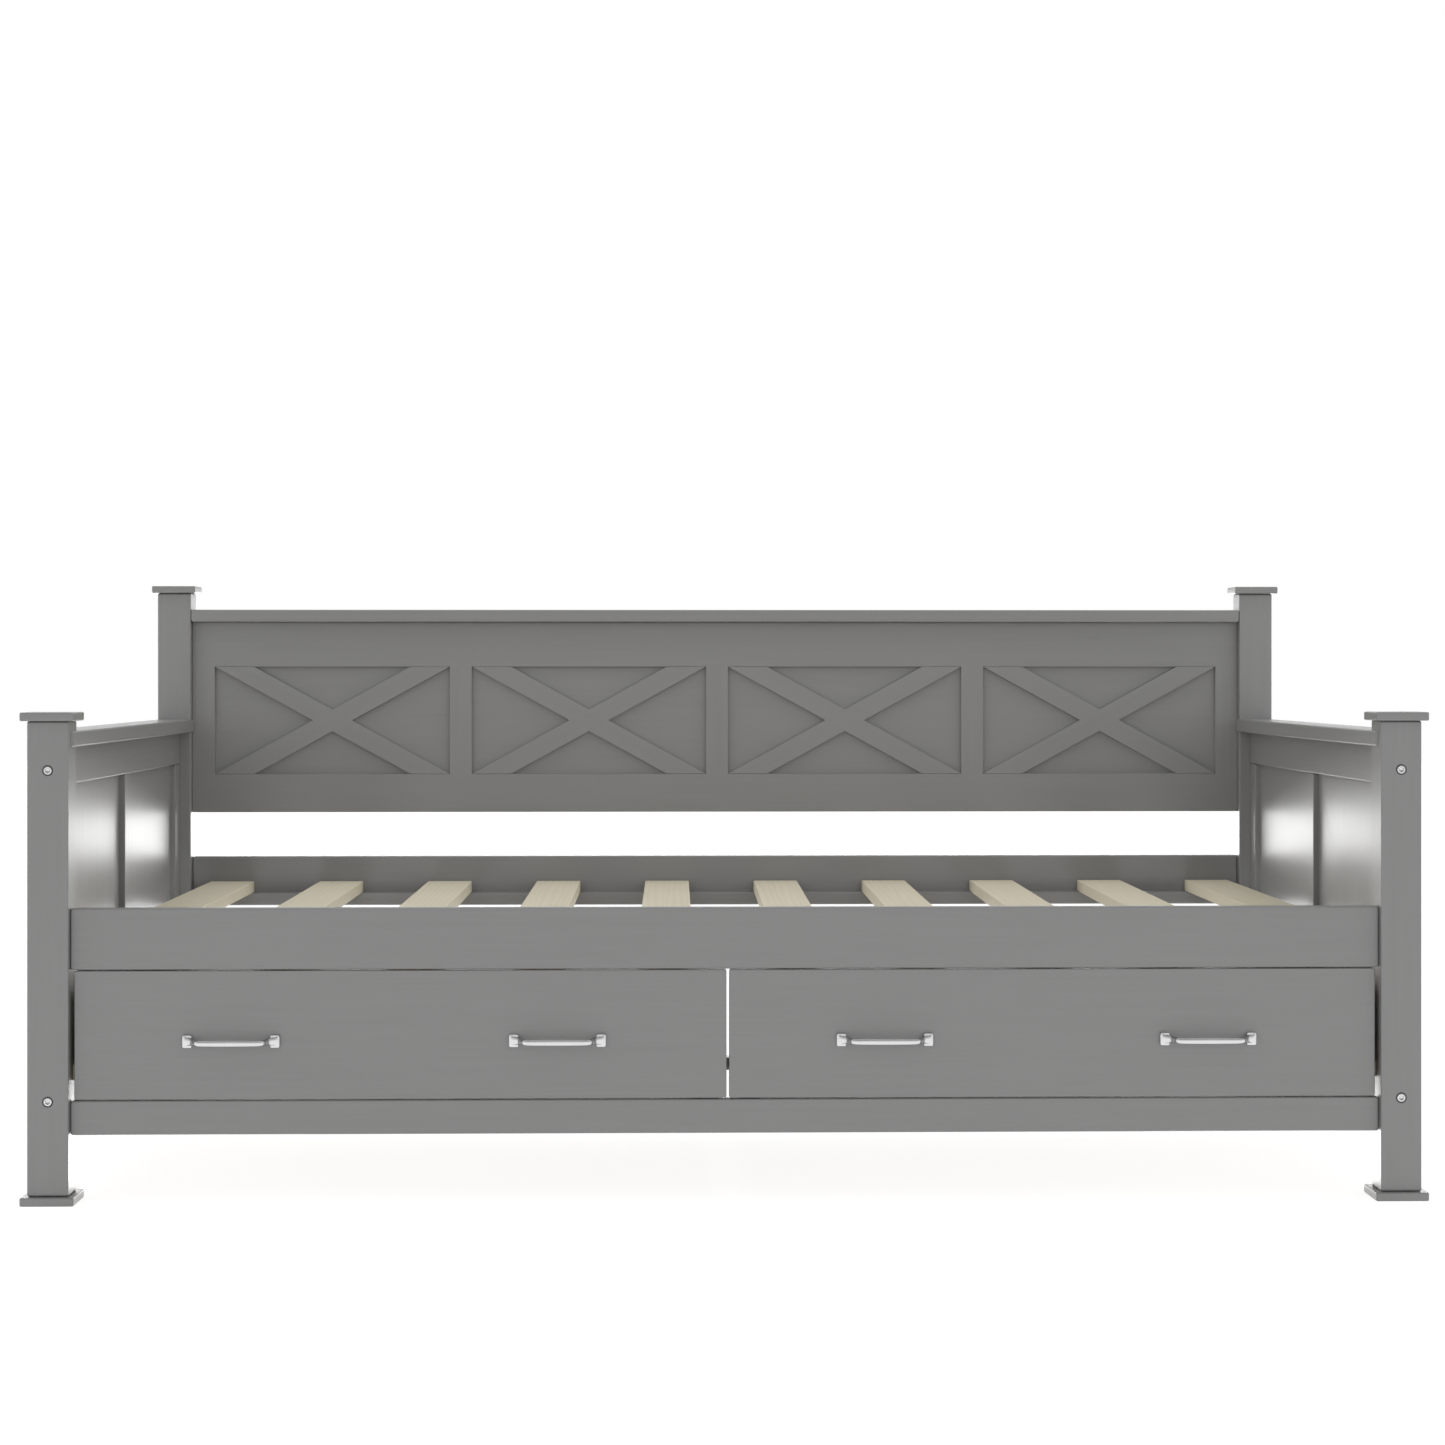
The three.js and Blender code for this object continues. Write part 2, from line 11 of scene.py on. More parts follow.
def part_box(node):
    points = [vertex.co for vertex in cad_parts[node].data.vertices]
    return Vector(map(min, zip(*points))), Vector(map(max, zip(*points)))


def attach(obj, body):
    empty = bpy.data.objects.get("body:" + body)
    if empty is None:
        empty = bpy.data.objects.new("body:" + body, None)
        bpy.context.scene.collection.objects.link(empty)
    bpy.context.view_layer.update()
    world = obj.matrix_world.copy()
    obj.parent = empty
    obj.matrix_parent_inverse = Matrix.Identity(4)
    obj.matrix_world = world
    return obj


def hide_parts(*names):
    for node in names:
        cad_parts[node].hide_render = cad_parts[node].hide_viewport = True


mm = 0.001
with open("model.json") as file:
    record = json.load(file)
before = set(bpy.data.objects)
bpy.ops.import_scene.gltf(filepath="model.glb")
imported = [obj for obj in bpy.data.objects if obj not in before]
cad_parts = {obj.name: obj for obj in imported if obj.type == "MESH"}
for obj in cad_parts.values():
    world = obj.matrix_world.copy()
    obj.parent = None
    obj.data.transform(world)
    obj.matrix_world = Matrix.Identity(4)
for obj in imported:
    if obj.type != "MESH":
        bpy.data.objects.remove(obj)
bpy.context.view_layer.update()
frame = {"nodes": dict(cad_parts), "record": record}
nodes = frame["nodes"]
bodies = frame["record"]["behaviour"]["bodies"]
bodyOf = {node: body for body, members in bodies.items() for node in members}
print("frame loaded:", len(nodes), "nodes")


# Shading

class Socket:
    # an output of a node, whose sums and products add Math nodes
    def __init__(self, nodeSet, output):
        self.nodeSet = nodeSet
        self.output = output

    def __add__(self, other):
        return self.nodeSet.maths("ADD", self, other)

    def __radd__(self, other):
        return self.nodeSet.maths("ADD", other, self)

    def __sub__(self, other):
        return self.nodeSet.maths("SUBTRACT", self, other)

    def __rsub__(self, other):
        return self.nodeSet.maths("SUBTRACT", other, self)

    def __mul__(self, other):
        return self.nodeSet.maths("MULTIPLY", self, other)

    def __rmul__(self, other):
        return self.nodeSet.maths("MULTIPLY", other, self)


class NodeSet:
    # the nodes of one material, or of the world
    def __init__(self, tree, shader):
        self.tree = tree
        self.shader = shader

    def node(self, kind, settings, inputs, output=0):
        made = self.tree.nodes.new(kind)
        for key, value in settings.items():
            setattr(made, key, value)
        self.fill(made, inputs)
        return Socket(self, made.outputs[output])

    def fill(self, made, inputs):
        for key, value in inputs.items():
            if isinstance(value, Socket):
                self.tree.links.new(value.output, made.inputs[key])
            else:
                made.inputs[key].default_value = value

    def maths(self, operation, *values):
        return self.node("ShaderNodeMath", {"operation": operation}, dict(enumerate(values)))

    def place(self, turn=(0, 0, 0), drawnOut=1):
        # the place on the object, for a pattern that is turned and drawn out along its first axis
        here = self.node("ShaderNodeTexCoord", {}, {}, "Object")
        inputs = {"Vector": here, "Rotation": turn, "Scale": (drawnOut, 1, 1)}
        return self.node("ShaderNodeMapping", {"vector_type": "TEXTURE"}, inputs)

    def noise(self, vector, scale, detail, roughness=0.5):
        inputs = {"Vector": vector, "Scale": scale, "Detail": detail, "Roughness": roughness}
        return self.node("ShaderNodeTexNoise", {}, inputs)

    def blend(self, amount, first, second):
        # two colours mixed
        return self.node("ShaderNodeMix", {"data_type": "RGBA"}, {0: amount, 6: first, 7: second}, 2)

    def tint(self, colour, amount):
        # a colour made lighter or darker by a factor
        grey = self.node("ShaderNodeCombineXYZ", {}, {0: amount, 1: amount, 2: amount})
        shade = colour if isinstance(colour, Socket) else colour[:3]
        return self.node("ShaderNodeVectorMath", {"operation": "MULTIPLY"}, {0: grey, 1: shade})

    def relief(self, height, depth, below=None):
        inputs = {"Height": height, "Distance": depth, "Strength": 1}
        if below:
            inputs["Normal"] = below
        return self.node("ShaderNodeBump", {}, inputs)


def newMaterial(name):
    material = bpy.data.materials.new(name)
    material.use_nodes = True
    tree = material.node_tree
    return material, NodeSet(tree, tree.nodes["Principled BSDF"])


# How a pattern is turned, so that the grain runs along this axis
grainTurns = {
    "x": (0, 0, 0),
    "y": (0, 0, math.radians(90)),
    "z": (0, math.radians(-90), 0),
}

paint = {
    "colour": (0.196, 0.196, 0.194, 1),
    "shade": 0.92,  # of the colour, and what each pattern adds at most
    "cloudShade": 0.05,
    "strokeShade": 0.06,
    "grainShade": 0.05,
    "roughness": 0.58,
    "cloudRoughness": 0.05,
    "strokeRoughness": 0.03,
    "ior": 1.6,
    "coat": 0.76,
    "strokeCoat": 0.35,
    "grainCoat": 0.12,
    "coatRoughness": 0.36,
    "strokesPerMetre": 300,
    "strokesDrawnOut": 45,
    "strokeDepth": 0.03 * mm,
    "grainPerMetre": 70,
    "grainDrawnOut": 30,
    "grainDepth": 0.05 * mm,
    "cloudsPerMetre": 2.5,
    "peelPerMetre": 330,
    "peelDepth": 0.01 * mm,
}


def greyPaint(name, turn):
    # satin paint over pine: brush strokes along the board, and grain that just shows
    material, look = newMaterial(name)
    along = look.place(turn, paint["strokesDrawnOut"])
    strokes = look.noise(along, paint["strokesPerMetre"], detail=2, roughness=0.6)
    grain = look.noise(look.place(turn, paint["grainDrawnOut"]), paint["grainPerMetre"], detail=3)
    cloud = look.noise(look.place(), paint["cloudsPerMetre"], detail=2)
    peel = look.noise(look.place(), paint["peelPerMetre"], detail=1)
    normal = look.relief(grain, paint["grainDepth"])
    normal = look.relief(strokes, paint["strokeDepth"], normal)
    normal = look.relief(peel, paint["peelDepth"], normal)
    shade = paint["shade"] + paint["cloudShade"] * cloud + paint["strokeShade"] * strokes
    rough = paint["roughness"] + paint["cloudRoughness"] * cloud
    look.fill(look.shader, {
        "Base Color": look.tint(paint["colour"], shade + paint["grainShade"] * grain),
        "Roughness": rough + paint["strokeRoughness"] * strokes,
        "IOR": paint["ior"],
        "Coat Weight": paint["coat"] + paint["strokeCoat"] * strokes + paint["grainCoat"] * grain,
        "Coat Roughness": paint["coatRoughness"],
        "Normal": normal,
    })
    return material


pine = {
    "pale": (0.66, 0.605, 0.465, 1),
    "dark": (0.57, 0.505, 0.365, 1),
    "paleWarmed": (0, 0.3, 0.7, 0),  # what warmth takes from each colour
    "darkWarmed": (0, 0.5, 1, 0),
    "shade": 0.93,  # of the colour, and what each pattern adds at most
    "fibreShade": 0.07,
    "cloudShade": 0.06,
    "roughness": 0.6,
    "fibreRoughness": 0.12,
    "ringsPerMetre": 30,
    "ringsDrawnOut": 26,
    "ringWobble": 7,
    "ringDetail": 2,
    "ringDetailScale": 1.4,
    "ringShown": 0.1,  # of the dark colour, where the rings are faint
    "ringPatches": 0.4,  # and more of it in patches
    "ringRise": 0.4,  # of the height of a fibre
    "patchesPerMetre": 14,
    "patchesDrawnOut": 5,
    "fibresPerMetre": 650,
    "fibresDrawnOut": 40,
    "fibreDepth": 0.05 * mm,
    "cloudsPerMetre": 5,
}
drawerWood = {"warmth": 0.25, "depth": 0.94, "contrast": 1.6}
plyFace = {"warmth": 0.35, "depth": 0.9, "contrast": 1.3}


def warmed(colour, warmth):
    # one of the two colours with less green and blue
    return [value * (1 - warmth * share) for value, share in zip(pine[colour], pine[colour + "Warmed"])]


def rawPine(name, turn, warmth=0.0, depth=1.0, contrast=1.0):
    # sawn and sanded pine: soft rings drawn out along the board, fine fibres and cloudy tone
    material, look = newMaterial(name)
    inputs = {
        "Vector": look.place(turn, pine["ringsDrawnOut"]),
        "Scale": pine["ringsPerMetre"],
        "Distortion": pine["ringWobble"],
        "Detail": pine["ringDetail"],
        "Detail Scale": pine["ringDetailScale"],
    }
    rings = look.node("ShaderNodeTexWave", {"wave_type": "BANDS", "bands_direction": "Y"}, inputs, "Fac")
    along = look.place(turn, pine["fibresDrawnOut"])
    fibres = look.noise(along, pine["fibresPerMetre"], detail=2, roughness=0.6)
    patches = look.noise(look.place(turn, pine["patchesDrawnOut"]), pine["patchesPerMetre"], detail=2)
    cloud = look.noise(look.place(), pine["cloudsPerMetre"], detail=1)
    shown = rings * (contrast * (pine["ringShown"] + pine["ringPatches"] * patches))
    toned = look.blend(shown, warmed("pale", warmth), warmed("dark", warmth))
    shade = depth * (pine["shade"] + pine["fibreShade"] * fibres + pine["cloudShade"] * cloud)
    look.fill(look.shader, {
        "Base Color": look.tint(toned, shade),
        "Roughness": pine["roughness"] + pine["fibreRoughness"] * fibres,
        "Normal": look.relief(fibres + rings * pine["ringRise"], pine["fibreDepth"]),
    })
    return material


nickel = {
    "colour": (0.5, 0.5, 0.505, 1),
    "shade": 0.92,  # of the colour, and what each pattern adds at most
    "cloudShade": 0.1,
    "castShade": 0.06,
    "roughness": 0.17,
    "cloudRoughness": 0.08,
    "castPerMetre": 700,
    "castDepth": 0.02 * mm,
    "cloudsPerMetre": 60,
}


def satinNickel(name):
    # cast zinc under satin nickel plating, a little uneven
    material, look = newMaterial(name)
    cast = look.noise(look.place(), nickel["castPerMetre"], detail=2)
    cloud = look.noise(look.place(), nickel["cloudsPerMetre"], detail=2)
    shade = nickel["shade"] + nickel["cloudShade"] * cloud + nickel["castShade"] * cast
    look.fill(look.shader, {
        "Base Color": look.tint(nickel["colour"], shade),
        "Metallic": 1,
        "Roughness": nickel["roughness"] + nickel["cloudRoughness"] * cloud,
        "Normal": look.relief(cast, nickel["castDepth"]),
    })
    return material


paints = {axis: greyPaint("grey_paint_" + axis, turn) for axis, turn in grainTurns.items()}
slatPine = rawPine("raw_pine_y", grainTurns["y"])
drawerPines = {axis: rawPine("drawer_pine_" + axis, grainTurns[axis], **drawerWood) for axis in "xy"}
plywood = rawPine("drawer_plywood", grainTurns["x"], **plyFace)
metal = satinNickel("satin_nickel")
print("materials made")


# Pieces

edges = {
    "merge": 0.005 * mm,
    "flat": math.radians(0.4),
    "easeFrom": math.radians(60),  # edges sharper than this are eased
    "smoothTo": math.radians(52),
    "paintEase": 0.4 * mm,
    "armEase": 0.9 * mm,
    "pineEase": 0.4 * mm,
    "plyEase": 0.2 * mm,
    "inLine": 0.99,  # an edge runs along an axis if this share of its length does
}


def finishPiece(name, shape, materials, body, replaced=()):
    # turns a bmesh into a piece that rides with a body and stands for CAD nodes
    mesh = bpy.data.meshes.new(name)
    shape.to_mesh(mesh)
    shape.free()
    for material in materials:
        mesh.materials.append(material)
    mesh.shade_smooth()
    mesh.set_sharp_from_angle(angle=edges["smoothTo"])
    piece = bpy.data.objects.new(name, mesh)
    bpy.context.scene.collection.objects.link(piece)
    weighted = piece.modifiers.new("weighted normals", "WEIGHTED_NORMAL")
    weighted.keep_sharp = True
    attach(piece, body)
    if replaced:
        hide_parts(*replaced)


def runsAlong(edge, axis):
    # whether an edge runs along this axis, or the axis is left open
    if axis is None:
        return True
    way = edge.verts[1].co - edge.verts[0].co
    return abs(way["xyz".index(axis)]) > edges["inLine"] * way.length


def mergedCopy(node, ease, axis=None):
    # a copy of a CAD node with its triangles merged, its flats whole and its crisp edges eased
    shape = bmesh.new()
    shape.from_mesh(nodes[node].data)
    bmesh.ops.remove_doubles(shape, verts=shape.verts, dist=edges["merge"])
    bmesh.ops.dissolve_limit(shape, angle_limit=edges["flat"], verts=shape.verts, edges=shape.edges)
    crisp = [edge for edge in shape.edges
             if edge.is_manifold and edge.is_convex and edge.calc_face_angle() > edges["easeFrom"]
             and runsAlong(edge, axis)]
    bmesh.ops.bevel(shape, geom=crisp, offset=ease, segments=2, profile=0.5, affect="EDGES",
                    material=-1, clamp_overlap=True)
    return shape


def dress(node, material, ease, axis=None):
    finishPiece(node + "_finish", mergedCopy(node, ease, axis), [material], bodyOf[node], [node])


def split(shape, point, normal):
    # a line across every face that the plane meets
    everything = shape.verts[:] + shape.edges[:] + shape.faces[:]
    bmesh.ops.bisect_plane(shape, geom=everything, plane_co=point, plane_no=normal)


# Painted frame: a board that butts against another keeps its ends crisp
posts = [f"{end}_{side}_post" for end in ("front", "rear") for side in ("left", "right")]
plates = [post + part for post in posts for part in ("_cap", "_foot")]
armRails = ["left_upper_rail", "right_upper_rail"]
boards = {
    "z": posts + ["left_side_panel", "right_side_panel"],
    "x": ["back_top_rail", "back_board", "front_upper_rail", "front_lower_rail", "rear_slat_rail",
          "front_cleat", "rear_cleat"],
    "y": [side + part for side in ("left", "right") for part in ("_upper_rail", "_lower_rail")],
}
for axis, names in boards.items():
    for name in names:
        ease = edges["armEase"] if name in armRails else edges["paintEase"]
        dress(name, paints[axis], ease, axis)
for name in plates:
    dress(name, paints["x"], edges["paintEase"])
for side in ("left", "right"):
    dress(side + "_arm_cap", paints["y"], edges["armEase"])
print("posts, rails and arms dressed")


# Back: the rails of the face frame run along it, its stiles run up, and each bar of a brace runs its way
braces = [f"back_brace_{number}" for number in range(1, 5)]
back = {
    "ease": 0.5 * mm,
    "barWidth": 35 * mm,
    "reveal": 0.3 * mm,  # the braces stand this far inside their windows
}


def faceFrame():
    shape = mergedCopy("back_face_frame", back["ease"])
    low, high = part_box(braces[0])
    sill, head = low.z - back["reveal"], high.z + back["reveal"]
    for height in (sill, head):
        split(shape, (0, 0, height), (0, 0, 1))
    for face in shape.faces:
        face.material_index = 1 if sill < face.calc_center_median().z < head else 0
    materials = [paints["x"], paints["z"]]
    finishPiece("back_face_frame_finish", shape, materials, "frame", ["back_face_frame"])


def brace(node):
    # the rising bar runs through, and the falling one is halved across it
    shape = mergedCopy(node, back["ease"])
    low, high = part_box(node)
    centre = (low + high) / 2
    # the window cuts the ends of a bar, so its slope comes from the window and the width of the bar
    width, height, bar = high.x - low.x, high.z - low.z, back["barWidth"]
    spread = height ** 2 - bar ** 2
    reach = math.sqrt(bar ** 4 * width ** 2 + spread * bar ** 2 * (height ** 2 + width ** 2))
    mitre = (reach - bar ** 2 * width) / spread
    slope = math.atan2(height, width - mitre)
    across = Vector((-math.sin(slope), 0, math.cos(slope)))
    for side in (-1, 1):
        split(shape, centre + across * bar / 2 * side, across)
    for face in shape.faces:
        offLine = abs((face.calc_center_median() - centre).dot(across))
        face.material_index = 0 if offLine < bar / 2 else 1
    turns = [(0, -slope, 0), (0, slope, 0)]
    materials = [greyPaint(f"{node}_{way}", turn) for way, turn in zip(("rising", "falling"), turns)]
    finishPiece(node + "_finish", shape, materials, "frame", [node])
    return slope


faceFrame()
for name in braces:
    braceSlope = brace(name)
print("back dressed, braces at", round(math.degrees(braceSlope), 2), "degrees")


# Slats and runners
slats = [f"slat_{number:02d}" for number in range(1, 11)]
for name in slats:
    dress(name, slatPine, edges["pineEase"])
for name in ("left_runner", "right_runner"):
    dress(name, drawerPines["y"], edges["pineEase"])


# The painted beam ends flush with the rear of the bare centre runners that it carries
beam = {
    "height": 20.6 * mm,
    "depth": 30 * mm,
    "slack": 0.05 * mm,  # so that the faces on its outline count as its own
}


def drawerBeam():
    node = "drawer_beam"
    shape = mergedCopy(node, edges["pineEase"])
    low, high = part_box(node)
    top, front = low.z + beam["height"], high.y - beam["depth"]
    split(shape, (0, 0, top), (0, 0, 1))
    split(shape, (0, front, 0), (0, 1, 0))
    for face in shape.faces:
        centre = face.calc_center_median()
        painted = centre.z < top + beam["slack"] and centre.y > front - beam["slack"]
        face.material_index = 1 if painted else 0
    materials = [drawerPines["y"], paints["x"]]
    finishPiece(node + "_finish", shape, materials, "frame", [node])


drawerBeam()


# Drawers
drawer = {"wall": 12 * mm, "boxEase": 0.5 * mm}


def drawerBox(side):
    # the side walls run past the ends of the front and rear walls, with the grain along each
    node = side + "_drawer_box"
    shape = mergedCopy(node, drawer["boxEase"])
    low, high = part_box(node)
    inner = (low.x + drawer["wall"], high.x - drawer["wall"])
    for x in inner:
        split(shape, (x, 0, 0), (1, 0, 0))
    for face in shape.faces:
        face.material_index = 0 if inner[0] < face.calc_center_median().x < inner[1] else 1
    materials = [drawerPines["x"], drawerPines["y"]]
    finishPiece(node + "_finish", shape, materials, bodyOf[node], [node])


for side in ("left", "right"):
    dress(side + "_drawer_front", paints["x"], edges["paintEase"])
    drawerBox(side)
    dress(side + "_drawer_bottom", plywood, edges["plyEase"])
print("drawers dressed")


# Rings of points, and the skins between them

def skin(shape, rings):
    # walls between neighbouring rings of points, and a cap on each end
    loops = [[shape.verts.new(point) for point in ring] for ring in rings]
    for near, far in zip(loops, loops[1:]):
        for here in range(len(near)):
            after = (here + 1) % len(near)
            shape.faces.new((near[here], near[after], far[after], far[here]))
    shape.faces.new(loops[0][::-1])
    shape.faces.new(loops[-1])
    bmesh.ops.recalc_face_normals(shape, faces=shape.faces)


def fromNearest(angle, step):
    # the angle to the nearest multiple of a step
    return (angle + step / 2) % step - step / 2


def slotReach(angle, step, width):
    # a slot that reaches 1 at each step, and whose half width is a share of that
    off = fromNearest(angle, step)
    return min(1 / math.cos(off), width / max(abs(math.sin(off)), width / 2))


slotWidths = {"cross": 0.24, "slot": 0.16}

# How far an outline of size 1 reaches at an angle
reaches = {
    "round": lambda angle: 1,
    "hexagon": lambda angle: 1 / math.cos(fromNearest(angle, math.pi / 3)),
    "cross": lambda angle: slotReach(angle, math.pi / 2, slotWidths["cross"]),
    "slot": lambda angle: slotReach(angle, math.pi, slotWidths["slot"]),
}


def turnedPiece(name, rings, place, forward, body, replaced=()):
    # rings of (height, size, outline) stacked along a direction
    shape = bmesh.new()
    angles = [2 * math.pi * step / hardware["sides"] for step in range(hardware["sides"])]
    loops = []
    for height, size, outline in rings:
        radii = [size * reaches[outline](angle) for angle in angles]
        loops.append([Vector((math.cos(angle) * radius, math.sin(angle) * radius, height))
                      for angle, radius in zip(angles, radii)])
    skin(shape, loops)
    turn = Vector(forward).to_track_quat("Z", "Y").to_matrix().to_4x4()
    shape.transform(Matrix.Translation(place) @ turn)
    finishPiece(name, shape, [metal], body, replaced)


# Hardware
hardware = {
    "sides": 48,
    "headThick": 5 * mm,
    "headSlack": 0.5 * mm,
    "shankRadius": 3 * mm,
    "socketSize": 2.9 * mm,
    "dowelBack": 22 * mm,  # a cross dowel's centre behind the front of its rail
    "pullSpacing": 128 * mm,
    "cleatScrewRise": 11 * mm,
}

# Rings of screws and dowels: height and size in millimetres, and outline
panHead = [
    (-0.6, 3.9, "round"), (0, 3.9, "round"), (0.5, 4, "round"), (1.3, 3.8, "round"), (2, 3.2, "round"),
    (2.4, 2.5, "round"), (2.5, 2.2, "cross"), (1.3, 1.9, "cross"), (1, 0.6, "cross"),
]
sunkHead = [
    (-0.8, 3.7, "round"), (0.02, 3.8, "round"), (0.12, 3.5, "round"), (0.12, 2.1, "cross"),
    (-0.8, 1.8, "cross"), (-1.1, 0.5, "cross"),
]
dowelEnd = [
    (-1.5, 5, "round"), (0.05, 5, "round"), (0.2, 4.7, "round"), (0.2, 3.8, "slot"),
    (-0.9, 3.6, "slot"), (-1, 3, "slot"),
]
# Rings of a bolt: the level it is measured from and the rise from there, the part and its inset, outline
boltRings = [
    ("tip", 0, "shank", 0.7, "round"), ("tip", 0.7, "shank", 0, "round"),
    ("under", 0, "shank", 0, "round"), ("under", 0, "head", 0.4, "round"),
    ("under", 0.4, "head", 0, "round"), ("face", -1.1, "head", 0, "round"),
    ("face", -0.55, "head", 0.17, "round"), ("face", -0.17, "head", 0.55, "round"),
    ("face", 0, "head", 1.1, "round"), ("face", 0, "socket", -0.5, "hexagon"),
    ("face", -0.4, "socket", 0, "hexagon"), ("face", -3.2, "socket", 0, "hexagon"),
    ("face", -4, "socket", 2.175, "hexagon"),
]


def scaled(rings):
    return [(height * mm, size * mm, outline) for height, size, outline in rings]


def bolt(node):
    # a socket head with a turned edge, on a shank that runs into the side rail
    low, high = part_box(node)
    face = high.y - low.y
    heights = {"tip": 0, "under": face - hardware["headThick"], "face": face}
    radii = {
        "shank": hardware["shankRadius"],
        "head": (high.x - low.x) / 2 - hardware["headSlack"],
        "socket": hardware["socketSize"],
    }
    rings = [(heights[level] + rise * mm, radii[part] - inset * mm, outline)
             for level, rise, part, inset, outline in boltRings]
    centre = (low + high) / 2
    turnedPiece(node + "_finish", rings, (centre.x, high.y, centre.z), (0, -1, 0), "frame", [node])
    return centre


def crossDowel(side, level, height):
    # the barrel nut of a bolt, its slotted end flush with the inner face of the side rail
    low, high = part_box(f"{side}_{level}_rail")
    inward = 1 if side == "left" else -1
    x = high.x if side == "left" else low.x
    place = (x, low.y + hardware["dowelBack"], height)
    turnedPiece(f"cross_dowel_{side}_{level}", scaled(dowelEnd), place, (inward, 0, 0), "frame")


for side in ("left", "right"):
    for level in ("upper", "lower"):
        crossDowel(side, level, bolt(f"bolt_{side}_{level}").z)


# Pulls, in millimetres where no unit is given
pull = {
    "sides": 32,
    "padSteps": [(0, 0.4), (0.4, 0), (4.6, 0), (5.2, 0.25), (5.45, 0.8)],  # height and inset of each ring
    "padSquareness": 9,
    "rootHeight": 5.5,
    "rootHalf": (4.4, 6.2),
    "rootIn": 1.6,
    "bowSlack": 0.1 * mm,  # the bar stays this far inside its CAD solid
    # places on the bow from a foot to the middle: shares of half its spacing and of its reach
    "bow": [(0.99, 0), (0.97, 0.1), (0.93, 0.2), (0.86, 0.34), (0.81, 0.52), (0.79, 0.7),
            (0.757, 0.85), (0.7, 0.95), (0.6, 0.993), (0.45, 1), (0, 1)],
    "bowSteps": 40,
    "neckFrom": 6.5 * mm,
    "neckTo": 16 * mm,
    "neckHalf": (4.2, 6),
    "barHalf": (3.5, 4),
    "barSwell": 1.2,  # at the middle of the bar
    "neckSquareness": 3,
    "barSquareness": 2.6,
}


def oval(place, heading, halfAcross, halfHigh, squareness):
    # a ring round a point of the pull; heading turns from straight out to along the bar
    across = Vector((math.cos(heading), math.sin(heading), 0))
    points = []
    for step in range(pull["sides"]):
        angle = 2 * math.pi * step / pull["sides"]
        cosine, sine = math.cos(angle), math.sin(angle)
        reach = (abs(cosine) ** squareness + abs(sine) ** squareness) ** (-1 / squareness)
        rise = Vector((0, 0, halfHigh * reach * sine))
        points.append(place + across * (halfAcross * reach * cosine) + rise)
    return points


def throughPoints(points, steps):
    # places and directions at even steps along a smooth curve through the points
    run = [0.0]
    for before, after in zip(points, points[1:]):
        run.append(run[-1] + (after - before).length)
    last = len(points) - 1
    slopes = []
    for i in range(last + 1):
        before, after = max(i - 1, 0), min(i + 1, last)
        slopes.append((points[after] - points[before]) / (run[after] - run[before]))
    curve = []
    for step in range(steps + 1):
        here = run[-1] * step / steps
        i = min(max(index for index, start in enumerate(run) if start <= here + 1e-9), last - 1)
        span = run[i + 1] - run[i]
        t = (here - run[i]) / span
        place = (points[i] * (2 * t ** 3 - 3 * t ** 2 + 1) + slopes[i] * (span * (t ** 3 - 2 * t ** 2 + t))
                 + points[i + 1] * (3 * t ** 2 - 2 * t ** 3) + slopes[i + 1] * (span * (t ** 3 - t ** 2)))
        way = ((points[i] - points[i + 1]) * (6 * t ** 2 - 6 * t) / span
               + slopes[i] * (3 * t ** 2 - 4 * t + 1) + slopes[i + 1] * (3 * t ** 2 - 2 * t))
        curve.append((place, way.normalized()))
    return curve


def pullPiece(node):
    # one skin from foot to foot: a square pad, a neck that narrows, and an oval bar on a round bow
    low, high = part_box(node)
    base = Vector(((low.x + high.x) / 2, high.y, (low.z + high.z) / 2))
    halfSpacing = hardware["pullSpacing"] / 2
    halfPad = ((high.x - low.x) / 2 - halfSpacing, (high.z - low.z) / 2)
    reach = high.y - low.y - pull["barHalf"][0] * mm - pull["bowSlack"]
    half = []
    for height, inset in pull["padSteps"]:
        place = Vector((-halfSpacing, -height * mm, 0))
        half.append(oval(place, 0, halfPad[0] - inset * mm, halfPad[1] - inset * mm, pull["padSquareness"]))
    root = Vector((pull["rootIn"] * mm - halfSpacing, -pull["rootHeight"] * mm, 0))
    half.append(oval(root, 0, pull["rootHalf"][0] * mm, pull["rootHalf"][1] * mm, pull["neckSquareness"]))
    points = [Vector((-along * halfSpacing, -out * reach, 0)) for along, out in pull["bow"]]
    for place, way in throughPoints(points, pull["bowSteps"]):
        if -place.y < pull["neckFrom"]:
            continue
        heading = math.atan2(way.x, -way.y)
        slim = min((-place.y - pull["neckFrom"]) / (pull["neckTo"] - pull["neckFrom"]), 1)
        slim *= 2 - slim
        sizes = [neck + (bar - neck) * slim for neck, bar in zip(pull["neckHalf"], pull["barHalf"])]
        sizes[1] *= 1 + (pull["barSwell"] - 1) * (1 - (place.x / halfSpacing) ** 2) * slim
        squareness = pull["neckSquareness"] + (pull["barSquareness"] - pull["neckSquareness"]) * slim
        half.append(oval(place, heading, sizes[0] * mm, sizes[1] * mm, squareness))
    middle = half.pop()
    mirrored = [[Vector((-point.x, point.y, point.z)) for point in ring] for ring in half]
    shape = bmesh.new()
    skin(shape, half + [middle] + mirrored[::-1])
    shape.transform(Matrix.Translation(base))
    finishPiece(node + "_finish", shape, [metal], bodyOf[node], [node])
    return base


def pullScrews(side, end, base):
    # the two screws of a pull, inside the drawer
    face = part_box(side + "_drawer_box")[0].y + drawer["wall"]
    for number, direction in enumerate((-1, 1), 1):
        place = (base.x + direction * hardware["pullSpacing"] / 2, face, base.z)
        name = f"pull_screw_{side}_{end}_{number}"
        turnedPiece(name, scaled(panHead), place, (0, 1, 0), side + "_drawer")


